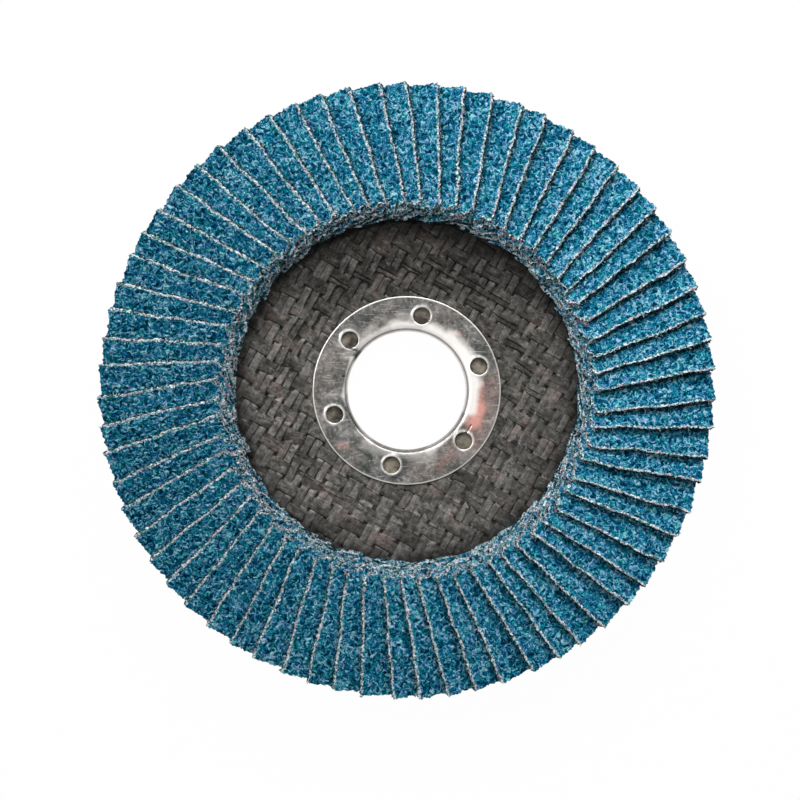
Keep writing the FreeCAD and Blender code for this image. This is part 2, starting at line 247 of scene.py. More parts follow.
def flapTree():
    tree, add, given = startTree("flapPack", {
        "Int": ("First Flap", "Flaps Here", "Flap Count", "Columns", "Rows"),
        "Float": (
            "Start Radius", "Length", "Width", "Inner Shift", "Outer Shift", "Thickness", "Coat Depth",
            "Lean", "Lift", "Open Width", "Fine Share", "Relief", "Ragged", "Wander", "Turn Jitter",
            "Yaw Jitter", "Inner Tear", "Threads", "Thread Size"),
        "Material": ("Coat", "Cloth", "Yarn")})

    def endLine(start, shift, widthShare):  # an end slants, so its radius falls over the flap's width
        return add("Math.SUBTRACT", [start, add("Math.MULTIPLY", [widthShare, shift])])

    faceMark = {"data_type": "INT", "domain": "FACE"}

    # the flat sheet: fine where it shows, coarse under the next flap
    grid = add("MeshGrid", {"Vertices X": given["Columns"], "Vertices Y": given["Rows"]})
    gridX, gridY, _ = add("SeparateXYZ", [add("InputPosition")]).outputs
    alongShare, acrossShare = add("Math.ADD", [gridX, 0.5]), add("Math.ADD", [gridY, 0.5])
    openPart = add("MapRange", [acrossShare, 0.0, given["Fine Share"], 0.0, given["Open Width"]])
    hiddenWidth = add("Math.SUBTRACT", [given["Width"], given["Open Width"]])
    hiddenPart = add("MapRange", [acrossShare, given["Fine Share"], 1.0, 0.0, hiddenWidth])
    across = add("Math.ADD", [openPart, hiddenPart])
    widthShare = add("Math.DIVIDE", [across, given["Width"]])
    farRadius = add("Math.ADD", [given["Start Radius"], given["Length"]])
    innerEnd = endLine(given["Start Radius"], given["Inner Shift"], widthShare)
    outerEnd = endLine(farRadius, given["Outer Shift"], widthShare)
    along = add("Mix", [alongShare, innerEnd, outerEnd])
    halfWidth = add("Math.MULTIPLY", [given["Width"], 0.5])
    centred = add("Math.SUBTRACT", [across, halfWidth])
    laid = add("SetPosition", {"Geometry": grid, "Position": add("CombineXYZ", [along, centred])})

    # two layers down the sides, then the underside; finish is 1 on the cut, 2 on yarn and 3 on cloth
    rim = add("Compare.EQUAL", [add("InputMeshEdgeNeighbors"), 1], data_type="INT")
    clothDepth = add("Math.SUBTRACT", [given["Thickness"], given["Coat Depth"]])
    straightDown = add("CombineXYZ", [0.0, 0.0, -1.0])
    coatSide = add("ExtrudeMesh", [laid, rim, straightDown, given["Coat Depth"]], mode="EDGES")
    coatFoot = coatSide.outputs["Top"]
    clothSide = add("ExtrudeMesh", [coatSide, coatFoot, straightDown, clothDepth], mode="EDGES")
    marked = add("StoreNamedAttribute", {
        "Geometry": clothSide, "Selection": clothSide.outputs["Side"], "Name": "finish", "Value": 1},
        **faceMark)
    loop = add("MeshToCurve", [clothSide, clothSide.outputs["Top"]])
    under = add("FillCurve", [loop], mode="NGONS")
    down = add("Math.MULTIPLY", [given["Thickness"], -1.0])
    underX, underY, _ = add("SeparateXYZ", [add("InputPosition")]).outputs
    lowered = add("SetPosition", {"Geometry": under, "Position": add("CombineXYZ", [underX, underY, down])})
    flipped = add("FlipFaces", [lowered])
    markedUnder = add("StoreNamedAttribute", {"Geometry": flipped, "Name": "finish", "Value": 3}, **faceMark)
    joined = add("JoinGeometry", [[marked, markedUnder]])
    closed = add("MergeByDistance", {"Geometry": joined, "Distance": 0.001})
    kept = add("StoreNamedAttribute", {
        "Geometry": closed, "Name": "flat", "Value": add("InputPosition")},
        data_type="FLOAT_VECTOR")

    # how far a point lies from the open cuts: positive on the grain, negative down the cut
    sheetX, sheetY, sheetZ = add("SeparateXYZ", [add("InputPosition")]).outputs
    inFromFree = add("Math.ADD", [sheetY, halfWidth])
    sheetShare = add("Math.DIVIDE", [inFromFree, given["Width"]])
    innerLine = endLine(given["Start Radius"], given["Inner Shift"], sheetShare)
    inFromInner = add("Math.SUBTRACT", [sheetX, innerLine])
    nearest = add("Math.MINIMUM", [inFromFree, inFromInner])
    onGrain = add("Compare.GREATER_THAN", [sheetZ, -0.01])
    gap = add("Switch", [onGrain, sheetZ, nearest], input_type="FLOAT")
    atInner = add("MapRange", [inFromInner, 0.1, 1.2, 1.0, 0.0])
    for name, value in (("edgeGap", gap), ("tornEnd", atInner)):
        kept = add("StoreNamedAttribute", {"Geometry": kept, "Name": name, "Value": value})

    # one copy for each flap of this piece, each with its own number
    seats = add("Points", [given["Flaps Here"]])
    copies = add("InstanceOnPoints", {"Points": seats, "Instance": kept})
    order = add("Math.ADD", [add("InputIndex"), given["First Flap"]])
    numbered = add("StoreNamedAttribute", {
        "Geometry": copies, "Name": "flapNumber", "Value": order}, domain="INSTANCE")
    real = add("RealizeInstances", [numbered])
    number = add("InputNamedAttribute", ["flapNumber"])
    flat = add("InputNamedAttribute", ["flat"], data_type="FLOAT_VECTOR")
    flatX, flatY, flatZ = add("SeparateXYZ", [flat]).outputs
    fromFree = add("Math.ADD", [flatY, halfWidth])
    share = add("Math.DIVIDE", [fromFree, given["Width"]])
    innerHere = endLine(given["Start Radius"], given["Inner Shift"], share)
    outerHere = endLine(farRadius, given["Outer Shift"], share)
    fromInner = add("Math.SUBTRACT", [flatX, innerHere])
    fromOuter = add("Math.SUBTRACT", [outerHere, flatX])
    nearFree, nearInner, nearOuter = (
        add("MapRange", [distance, 0.0, reach, 1.0, 0.0])
        for distance, reach in ((fromFree, 1.0), (fromInner, 1.6), (fromOuter, 1.0)))

    # ragged cut, slow wander of the free edge, and uneven ends
    apart = add("Math.MULTIPLY", [number, 17.3])  # takes each flap to noise of its own
    deeper = add("Math.MULTIPLY_ADD", [flatZ, 2.5, apart])
    seed = add("CombineXYZ", [flatX, flatY, deeper])
    tear = add("TexNoise", {"Vector": seed, "Scale": 1.5, "Roughness": 0.65})
    slowSeed = add("CombineXYZ", [add("Math.MULTIPLY", [flatX, 0.14]), apart])
    slow = add("TexNoise", {"Vector": slowSeed, "Scale": 1.0, "Detail": 1.5})
    tearSize, slowSize = (
        add("Math.MULTIPLY", [add("MapRange", [pattern, 0.3, 0.7, 0.0, 1.0]), most])
        for pattern, most in ((tear, given["Ragged"]), (slow, given["Wander"])))
    slowFall = add("MapRange", [fromFree, 0.0, 6.0, 1.0, 0.0])
    freeTear = add("Math.MULTIPLY", [tearSize, nearFree])
    shiftY = add("Math.MULTIPLY_ADD", [slowSize, slowFall, freeTear])
    innerTear = add("Math.MULTIPLY", [nearInner, given["Inner Tear"]])
    tornEnds = add("Math.MULTIPLY", [tearSize, add("Math.SUBTRACT", [innerTear, nearOuter])])
    drawnIn = add("Math.MULTIPLY", [nearOuter, add("Math.MULTIPLY", [flatZ, 0.6])])
    endSeed = add("CombineXYZ", [add("Math.MULTIPLY", [flatY, 0.6]), apart])
    endNoise = add("TexNoise", {"Vector": endSeed, "Scale": 1.0})
    endSize = add("MapRange", [endNoise, 0.3, 0.7, -0.5, 0.9])
    endShift = add("Math.MULTIPLY_ADD", [endSize, nearInner, drawnIn])
    shiftX = add("Math.ADD", [tornEnds, endShift])

    # the grain's own relief, and the free edge curled down a little
    grain = add("TexNoise", {
        "Vector": seed, "Scale": 1.9, "Detail": 2.0, "Roughness": 0.7, "Distortion": 0.6})
    pit = add("Math.MULTIPLY", [add("MapRange", [grain, 0.28, 0.72, 1.0, 0.0]), given["Relief"]])
    coveredFrom = add("Math.ADD", [given["Open Width"], 1.0])
    hidden = add("MapRange", [fromFree, given["Open Width"], coveredFrom, 0.0, 1.0])
    sunk = add("Mix", [hidden, pit, 0.2])
    onTop = add("MapRange", [flatZ, -0.1, 0.0, 0.0, -1.0])
    curlX, curlY = add("Math.MULTIPLY", [flatX, 0.09]), add("Math.MULTIPLY", [flatY, 0.12])
    curl = add("TexNoise", {"Vector": add("CombineXYZ", [curlX, curlY, apart]), "Scale": 1.0, "Detail": 1.0})
    curlDown = add("Math.MULTIPLY", [add("MapRange", [curl, 0.35, 0.65, 0.0, -0.3]), slowFall])
    shiftZ = add("Math.MULTIPLY_ADD", [sunk, onTop, curlDown])
    shaped = add("VectorMath.ADD", [flat, add("CombineXYZ", [shiftX, shiftY, shiftZ])])

    # each flap a little askew, leant on the next, and turned to its place
    yaw, jitter = (
        add("RandomValue", {
            "Min": add("Math.MULTIPLY", [given[label], -1.0]), "Max": given[label], "ID": number,
            "Seed": flapPack[seedName]})
        for label, seedName in (("Yaw Jitter", "yawSeed"), ("Turn Jitter", "turnSeed")))
    middle = add("CombineXYZ", [add("Math.MULTIPLY_ADD", [given["Length"], 0.5, given["Start Radius"]])])
    askew = add("VectorRotate", {"Vector": shaped, "Center": middle, "Angle": yaw}, rotation_type="Z_AXIS")
    leanDown = add("Math.MULTIPLY", [given["Lean"], -1.0])
    leant = add("VectorRotate", {"Vector": askew, "Angle": leanDown}, rotation_type="X_AXIS")
    raised = add("VectorMath.ADD", [leant, add("CombineXYZ", [0.0, 0.0, given["Lift"]])])
    pitch = add("Math.DIVIDE", [math.tau, given["Flap Count"]])
    turn = add("Math.MULTIPLY_ADD", [pitch, number, jitter])
    turned = add("VectorRotate", {"Vector": raised, "Angle": turn}, rotation_type="Z_AXIS")
    stacked = add("SetPosition", {"Geometry": real, "Position": turned})

    # frayed yarn along the cuts that show, thickest at the inner end
    finish = add("InputNamedAttribute", ["finish"], data_type="INT")
    isCut, isYarn, isCloth = (add("Compare.EQUAL", [finish, value], data_type="INT") for value in (1, 2, 3))
    inSight = add("Compare.LESS_THAN", [fromFree, given["Open Width"]])
    notOuter = add("Compare.GREATER_THAN", [fromOuter, 0.7])
    frays = add("BooleanMath.AND", [add("BooleanMath.AND", [isCut, inSight]), notOuter])
    density = add("Math.MULTIPLY", [add("Math.MULTIPLY_ADD", [nearInner, 11.0, 1.0]), given["Threads"]])
    roots = add("DistributePointsOnFaces", {
        "Mesh": stacked, "Selection": frays, "Density": density, "Seed": given["First Flap"]})
    bare = add("RemoveAttribute", {"Geometry": roots, "Name": "finish"})
    strand = add("CurveQuadraticBezier", [3, *flapPack["threadLine"]])
    section = add("CurvePrimitiveCircle", {"Resolution": 3, "Radius": flapPack["threadRadius"]})
    yarnMesh = add("CurveToMesh", {"Curve": strand, "Profile Curve": section, "Fill Caps": True})
    yarnMarked = add("StoreNamedAttribute", {"Geometry": yarnMesh, "Name": "finish", "Value": 2}, **faceMark)
    leaning = add("RandomValue", {
        "Min": (-0.9, -0.9, 0.0), "Max": (0.9, 0.9, math.tau), "Seed": flapPack["threadLeanSeed"]},
        data_type="FLOAT_VECTOR")
    byLeaning = add("EulerToRotation", [leaning])
    twist = add("RotateRotation", [roots.outputs["Rotation"], byLeaning], rotation_space="LOCAL")
    sizeOf = add("RandomValue", {"Min": 0.35, "Max": 1.3, "Seed": flapPack["threadSizeSeed"]})
    sized = add("Math.MULTIPLY", [sizeOf, given["Thread Size"]])
    frayed = add("InstanceOnPoints", {
        "Points": bare, "Instance": yarnMarked, "Rotation": twist, "Scale": sized})

    everything = add("JoinGeometry", [[stacked, frayed]])
    metric = add("Transform", {"Geometry": everything, "Scale": (mm, mm, mm)})
    solid = add("RealizeInstances", [metric])
    coated = add("SetMaterial", {"Geometry": solid, "Material": given["Coat"]})
    clothed = add("SetMaterial", {"Geometry": coated, "Selection": isCloth, "Material": given["Cloth"]})
    return endTree(tree, add("SetMaterial", {
        "Geometry": clothed, "Selection": isYarn, "Material": given["Yarn"]}))


flapMaterials = {"coat": grainCoat(), "cloth": clothReverse(), "yarn": looseYarn()}
flapTurns = {key: math.radians(flapPack[key]) for key in ("lean", "turnJitter", "yawJitter")}
flaps = flapTree()
for node in sorted(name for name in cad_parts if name.startswith("flaps_")):
    numbers = [int(part) for part in node.split("_")[1:]]
    piece = growPiece("dressed_" + node, flaps, {
        **flapPack, **flapTurns, **flapMaterials, "firstFlap": numbers[0] - 1, "flapsHere": len(numbers)})
    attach(piece, "root")
    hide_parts(node)
print("flaps made:", flapPack["flapCount"])


frontCloth = {  # sizes in mm, turns in degrees
    "halfThickness": 0.13, "swing": 0.07, "sharpness": 0.35, "stray": 0.26,
    "innerRadius": 16.9, "outerRadius": 34.6, "pointsAlong": 60,
    "hubHeight": 3.0, "rimHeight": 4.8, "slopeFrom": 20.0, "slopeTo": 27.5,
    "first": {"turn": -29.5, "pitch": 3.0, "halfWidth": 0.88, "strandSpread": 0.44},
    "second": {"turn": 61.0, "pitch": 3.5, "halfWidth": 0.82, "strandSpread": 0.74},
}
backCloth = {
    "halfThickness": 0.09, "swing": -0.07, "sharpness": 0.55, "stray": 0.12,
    "innerRadius": 12.6, "outerRadius": 52.3, "pointsAlong": 24,
    "hubHeight": 0.205, "rimHeight": 2.0, "slopeFrom": 20.0, "slopeTo": 27.5,
    "first": {"turn": 15.0, "pitch": 3.4, "halfWidth": 0.5, "strandSpread": 0.45},
    "second": {"turn": 105.0, "pitch": 3.4, "halfWidth": 0.5, "strandSpread": 0.45},
}


def towTree():
    tree, add, given = startTree("wovenTows", {
        "Int": ("Tow Count", "Points Along"),
        "Float": (
            "Pitch", "Cross Pitch", "Half Width", "Half Thickness", "Swing", "Turn", "Inner Radius",
            "Outer Radius", "Hub Height", "Rim Height", "Slope From", "Slope To", "Strand Spread",
            "Sharpness", "Stray", "Seed"),
        "Material": ("Tow",)})

    # a tow is two strands beside each other, and each strand has a half on either side of the middle
    line = add("CurvePrimitiveLine", {"End": (1, 0, 0)})
    lane = add("ResampleCurve", {"Curve": line, "Count": given["Points Along"]})
    seats = add("Points", [add("Math.MULTIPLY", [given["Tow Count"], 4.0])])
    copies = add("InstanceOnPoints", {"Points": seats, "Instance": lane})
    index = add("InputIndex")
    pair = add("Math.FLOOR", [add("Math.MULTIPLY", [index, 0.25])])
    halves = add("Math.FLOOR", [add("Math.MULTIPLY", [index, 0.5])])
    strand, side = (
        add("Math.MULTIPLY_ADD", [add("Math.MODULO", [count, 2.0]), 2.0, -1.0]) for count in (halves, index))
    half = add("Math.MULTIPLY", [add("Math.SUBTRACT", [given["Tow Count"], 1.0]), 0.5])
    towNumber = add("Math.SUBTRACT", [pair, half])
    for name, value in (("towNumber", towNumber), ("towSide", side), ("towStrand", strand)):
        copies = add("StoreNamedAttribute", {
            "Geometry": copies, "Name": name, "Value": value}, domain="INSTANCE")
    real = add("RealizeInstances", [copies])
    number, strandHere, sign = (
        add("InputNamedAttribute", [name])
        for name in ("towNumber", "towStrand", "towSide"))
    share = add("SeparateXYZ", [add("InputPosition")])
    centreLine = add("Math.MULTIPLY", [number, given["Pitch"]])
    offset = add("Math.MULTIPLY_ADD", [strandHere, given["Strand Spread"], centreLine])
    offsetSquared = add("Math.MULTIPLY", [offset, offset])
    ends = []
    for label in ("Inner Radius", "Outer Radius"):  # where the strand crosses that circle
        squared = add("Math.MULTIPLY", [given[label], given[label]])
        left = add("Math.MAXIMUM", [add("Math.SUBTRACT", [squared, offsetSquared]), 0.0])
        ends.append(add("Math.SQRT", [left]))
    reach = add("Mix", [share, *ends])
    along = add("Math.MULTIPLY", [reach, sign])

    # over and under, with uneven lie
    towSeed = add("Math.MULTIPLY_ADD", [number, 3.7, given["Seed"]])
    seed = add("CombineXYZ", [along, towSeed, add("Math.MULTIPLY", [strandHere, 4.0])])
    uneven = add("TexNoise", {"Vector": seed, "Scale": 0.12})
    strayLow = add("Math.MULTIPLY", [given["Stray"], -1.0])
    sidestep = add("MapRange", [uneven, 0.3, 0.7, strayLow, given["Stray"]])
    lateral = add("Math.ADD", [offset, sidestep])
    parity = add("Math.COSINE", [add("Math.MULTIPLY", [number, math.pi])])
    phase = add("Math.DIVIDE", [add("Math.MULTIPLY", [along, math.pi]), given["Cross Pitch"]])
    crossing = add("Math.MULTIPLY", [add("Math.COSINE", [phase]), parity])
    sharpLow = add("Math.MULTIPLY", [given["Sharpness"], -1.0])
    flattened = add("MapRange", [crossing, sharpLow, given["Sharpness"], -1.0, 1.0],
                    interpolation_type="SMOOTHSTEP")
    bob = add("TexNoise", {"Vector": seed, "Scale": 0.45, "Detail": 1.0})
    bobSize = add("MapRange", [bob, 0.3, 0.7, -0.03, 0.03])
    rise = add("Math.MULTIPLY_ADD", [flattened, given["Swing"], bobSize])
    radius = add("VectorMath.LENGTH", [add("CombineXYZ", [along, lateral])])
    slope = [given[label] for label in ("Slope From", "Slope To", "Hub Height", "Rim Height")]
    ground = add("MapRange", [radius, *slope], interpolation_type="SMOOTHSTEP")
    placed = add("CombineXYZ", [along, lateral, add("Math.ADD", [ground, rise])])
    turned = add("VectorRotate", {"Vector": placed, "Angle": given["Turn"]}, rotation_type="Z_AXIS")
    for name, value in (("alongTow", along), ("towLift", flattened)):
        real = add("StoreNamedAttribute", {"Geometry": real, "Name": name, "Value": value})
    path = add("SetPosition", {"Geometry": real, "Position": turned})
    level = add("SetCurveNormal", {"Curve": path}, mode="Z_UP")

    # flat section with soft corners
    circle = add("CurvePrimitiveCircle", {"Resolution": 8})
    circleX, circleY, _ = add("SeparateXYZ", [add("InputPosition")]).outputs
    wide = add("Math.MULTIPLY", [circleX, given["Half Width"]])
    stretched = add("Math.MULTIPLY", [circleY, 1.42])
    levelled = add("Math.MAXIMUM", [add("Math.MINIMUM", [stretched, 1.0]), -1.0])
    thin = add("Math.MULTIPLY", [levelled, given["Half Thickness"]])
    rounded = add("StoreNamedAttribute", {"Geometry": circle, "Name": "acrossTow", "Value": circleX})
    section = add("SetPosition", {"Geometry": rounded, "Position": add("CombineXYZ", [wide, thin])})
    swell = add("TexNoise", {"Vector": seed, "Scale": 0.55})
    swellSize = add("MapRange", [swell, 0.3, 0.7, 0.8, 1.14])
    swellKept = add("StoreNamedAttribute", {"Geometry": level, "Name": "swell", "Value": swellSize})
    swellBack = add("InputNamedAttribute", ["swell"])
    tube = add("CurveToMesh", {
        "Curve": swellKept, "Profile Curve": section, "Scale": swellBack, "Fill Caps": True})
    smooth = add("SetShadeSmooth", [tube])
    metric = add("Transform", {"Geometry": smooth, "Scale": (mm, mm, mm)})
    solid = add("RealizeInstances", [metric])
    return endTree(tree, add("SetMaterial", {"Geometry": solid, "Material": given["Tow"]}))


def towFinish(name, tones, crossPitch, seamDepth):  # glass tows in dark resin: flat, streaked, a dull sheen
    material, add = startMaterial(name)
    place = inMillimetres(add)
    along, across, number, strand, lift = (
        add("Attribute", attribute_name=label).outputs["Fac"]
        for label in ("alongTow", "acrossTow", "towNumber", "towStrand", "towLift"))
    strands = add("CombineXYZ", [
        add("Math.MULTIPLY", [along, 0.4]),
        add("Math.MULTIPLY", [across, 2.2]),
        add("Math.MULTIPLY_ADD", [number, 5.3, strand])])
    fine = add("TexNoise", {"Vector": strands, "Scale": 1.3, "Detail": 3.0, "Roughness": 0.6})
    blot = add("TexNoise", {"Vector": place, "Scale": 1.0, "Detail": 5.0, "Roughness": 0.75})
    patch = add("TexNoise", {"Vector": place, "Scale": 0.3})
    floatNumber = add("Math.ROUND", [add("Math.DIVIDE", [along, crossPitch])])
    each = add("TexWhiteNoise", [add("CombineXYZ", [floatNumber, number, strand])])
    shade = add("Math.MULTIPLY", [blot, 1.6])
    for pattern, weight in ((fine, 0.5), (patch, 0.66), (each, 0.26)):
        shade = add("Math.MULTIPLY_ADD", [pattern, weight, shade])
    sides = add("SeparateXYZ", [place])
    shadeTowardsTop = add("MapRange", [sides.outputs[1], 8.0, 27.0, 0.0, -0.2])  # painted shade: darker towards +y, where the flaps shade the upper hub
    shade = add("MapRange", [add("Math.ADD", [shade, shadeTowardsTop]), 1.16, 1.9, 0.0, 1.0])
    colour = add("ValToRGB", [shade], stops=list(zip((0.0, 0.5, 1.0), tones)))
    hueMask = add("MapRange", [patch, 0.55, 0.7, 0.0, 0.35])
    colour = add("Mix", [hueMask, colour, fromHex("7a5a55")], data_type="RGBA", blend_type="COLOR")
    # painted shade where a tow dives under the crossing tow
    sunk = add("MapRange", [lift, -0.7, 0.5, 0.25, 0.0])
    # painted shade along the tow edges, in the creases between tows
    seam = add("MapRange", [add("Math.ABSOLUTE", [across]), 0.72, 0.98, 0.0, seamDepth])
    seamShade = add("Math.MULTIPLY", [seam, add("MapRange", [blot, 0.42, 0.58, 1.3, 0.2])])
    fromAxis = add("VectorMath.LENGTH", [add("VectorMath.MULTIPLY", [place, (1, 1, 0)])])
    creep = add("Math.ADD", [add("MapRange", [patch, 0.35, 0.65, -1.5, 1.5]), fromAxis])
    squeezed = add("MapRange", [creep, 28.5, 33.5, 0.0, 0.86], interpolation_type="SMOOTHSTEP")
    # the first two masks are painted shade; the squeezed-out resin is the cloth's own dark
    for mask, tone in ((sunk, "1b1917"), (seamShade, "0f0e0d"), (squeezed, "121314")):
        colour = add("Mix", [mask, colour, fromHex(tone)], data_type="RGBA")
    relief = add("Math.ADD", [fine, blot])
    return endMaterial(material, add, {
        "Base Color": colour,
        "Normal": add("Bump", {"Strength": 0.6, "Distance": 0.00008, "Height": relief}),
        "Roughness": add("MapRange", [blot, 0.3, 0.7, 0.5, 0.75]),
        "Specular IOR Level": 0.08})


tows = towTree()
firstPitch, secondPitch = frontCloth["first"]["pitch"], frontCloth["second"]["pitch"]
lowTow = towFinish("black_glass_tow_low", ("272624", "565450", "8d8b87"), secondPitch, 0.9)
highTow = towFinish("black_glass_tow_high", ("3b3a38", "73716e", "adaba7"), firstPitch, 0.25)
backTow = towFinish("black_glass_mesh", ("1d1c19", "35322f", "57544f"), backCloth["first"]["pitch"], 0.6)
for label, cloth, family, flip, finish in (
        ("front", frontCloth, "first", 1, lowTow), ("front", frontCloth, "second", -1, highTow),
        ("back", backCloth, "first", 1, backTow), ("back", backCloth, "second", -1, backTow)):
    lie, other = cloth[family], cloth["second" if family == "first" else "first"]
    reach = int(cloth["outerRadius"] / lie["pitch"])
    piece = growPiece("plate_" + label + "_tows_" + family, tows, {
        **cloth, **lie, "towCount": 2 * reach + 1, "crossPitch": other["pitch"],
        "turn": math.radians(lie["turn"]), "swing": cloth["swing"] * flip, "seed": 10.0 * flip, "tow": finish})
    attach(piece, "root")
    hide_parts("backing_plate")
print("tows woven")


plateBody = {
    "segments": 256,
    "profile": [  # radius and height of the closed section, mm
        (11.665, 0.15), (16.0, 0.15), (20.0, 0.15), (21.0, 0.24), (22.0, 0.46), (24.0, 1.13), (25.0, 1.48),
        (26.0, 1.75), (27.0, 1.92), (28.0, 1.945), (32.0, 1.95), (38.0, 1.95), (44.0, 1.95), (49.0, 1.95),
        (52.5, 1.95), (52.9, 2.07), (53.0, 2.3), (53.0, 3.0), (53.0, 3.6), (53.0, 4.3), (52.85, 4.6),
        (52.5, 4.75), (48.0, 4.75), (42.0, 4.75), (36.0, 4.75), (30.0, 4.75), (28.0, 4.72), (27.0, 4.55),
        (26.0, 4.32), (24.0, 3.84), (22.0, 3.36), (20.6, 3.04), (19.6, 2.94), (17.0, 2.92), (14.0, 2.92),
        (12.9, 2.92), (12.2, 2.7), (11.8, 2.3), (11.665, 1.8), (11.665, 0.9)],
}
bedBody = {
    "segments": 320, "topSteps": 12,
    "innerRadius": 33.2, "outerRadius": 52.2, "bottom": 4.72, "top": 5.7, "lumps": 0.35,
    "outerBead": ((0.15, 0.12), (0.2, 0.35), (0.05, 0.6), (-0.25, 0.8)),  # out and up from the lower corner
    "innerBead": ((0.25, 0.8), (-0.05, 0.6), (-0.2, 0.35), (-0.15, 0.12)),
}


def turnProfile(name, profile, segments, shape=None):  # closed section turned round the axis
    mesh = bpy.data.meshes.new(name)
    shell = bmesh.new()
    rings = []
    for step in range(segments):
        angle = math.tau * step / segments
        ring = []
        for radius, height in profile:
            if shape:
                radius, height = shape(radius, height, angle)
            x, y = radius * math.cos(angle) * mm, radius * math.sin(angle) * mm
            ring.append(shell.verts.new((x, y, height * mm)))
        rings.append(ring)
    count = len(profile)
    for step in range(segments):
        here, after = rings[step], rings[(step + 1) % segments]
        for i in range(count):
            face = shell.faces.new((here[i], here[(i + 1) % count], after[(i + 1) % count], after[i]))
            face.smooth = True
    bmesh.ops.recalc_face_normals(shell, faces=shell.faces)
    shell.to_mesh(mesh)
    shell.free()
    return mesh


def darkResin():  # cured phenolic resin: nearly black, glossy where it pooled
    material, add = startMaterial("cured_phenolic_resin")
    place = inMillimetres(add)
    cloud = add("TexNoise", {"Vector": place, "Scale": 0.6, "Detail": 4.0, "Roughness": 0.6})
    fine = add("TexNoise", {"Vector": place, "Scale": 2.4, "Detail": 3.0})
    return endMaterial(material, add, {
        "Base Color": add("ValToRGB", [cloud], stops=[(0.32, "1a1816"), (0.52, "2b2825"), (0.7, "4a4038")]),
        "Normal": add("Bump", {"Strength": 0.7, "Distance": 0.0001, "Height": fine}),
        "Roughness": add("MapRange", [cloud, 0.35, 0.65, 0.3, 0.6])})


def pressedLaminate():  # resin and glass pressed hard: dark, with cut fibre layers at the rim
    material, add = startMaterial("pressed_glass_laminate")
    place = inMillimetres(add)
    xyz = add("SeparateXYZ", [place]).outputs
    stretch = (0.35, 0.35, 3.2)  # long flat layers, about a third of a millimetre each
    layers = add("CombineXYZ", [add("Math.MULTIPLY", [part, size]) for part, size in zip(xyz, stretch)])
    cloud = add("TexNoise", {"Vector": layers, "Scale": 1.0, "Detail": 4.0, "Roughness": 0.65})
    colour = add("ValToRGB", [cloud], stops=[
        (0.3, "24221f"), (0.44, "504b44"), (0.56, "7b7468"), (0.72, "a69e90")])
    fromAxis = add("VectorMath.LENGTH", [add("VectorMath.MULTIPLY", [place, (1, 1, 0)])])
    soaked = add("MapRange", [fromAxis, 16.4, 17.2, 0.0, 0.85])
    return endMaterial(material, add, {
        "Base Color": add("Mix", [soaked, colour, fromHex("0c0b0a")], data_type="RGBA"),
        "Normal": add("Bump", {"Strength": 0.6, "Distance": 0.0001, "Height": cloud}),
        "Roughness": add("MapRange", [cloud, 0.3, 0.7, 0.4, 0.65]),
        "Specular IOR Level": 0.12})


plateMesh = turnProfile("plate_laminate", plateBody["profile"], plateBody["segments"])
plate = addPiece("plate_laminate", plateMesh, pressedLaminate())
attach(plate, "root")
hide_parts("backing_plate")


def lumpyBed(radius, height, angle):  # the resin squeezed out unevenly at both rims
    middle = (bedBody["innerRadius"] + bedBody["outerRadius"]) / 2
    outward = 1 if radius > middle else -1
    place = Vector((radius * math.cos(angle), radius * math.sin(angle), height * 2)) * 0.45
    lump = noise.noise(place) * bedBody["lumps"] + noise.noise(place * 2.7) * bedBody["lumps"] * 0.4
    low = height < bedBody["bottom"] + 0.01
    return radius + outward * (lump - 0.2), height if low else min(height + lump * 0.3, bedBody["top"])


def bedSection():
    inner, outer, bottom = bedBody["innerRadius"], bedBody["outerRadius"], bedBody["bottom"]
    steps = bedBody["topSteps"]
    section = [(inner + 0.1, bottom), (outer - 0.1, bottom)]
    section += [(outer + dr, bottom + dz) for dr, dz in bedBody["outerBead"]]
    section += [(outer - step * (outer - inner) / steps, bedBody["top"] - 0.05) for step in range(1, steps)]
    return section + [(inner + dr, bottom + dz) for dr, dz in bedBody["innerBead"]]


bedMesh = turnProfile("resin_bead", bedSection(), bedBody["segments"], lumpyBed)
bed = addPiece("resin_bead", bedMesh, darkResin())
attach(bed, "root")
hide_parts("resin_bed")
print("plate and resin made")


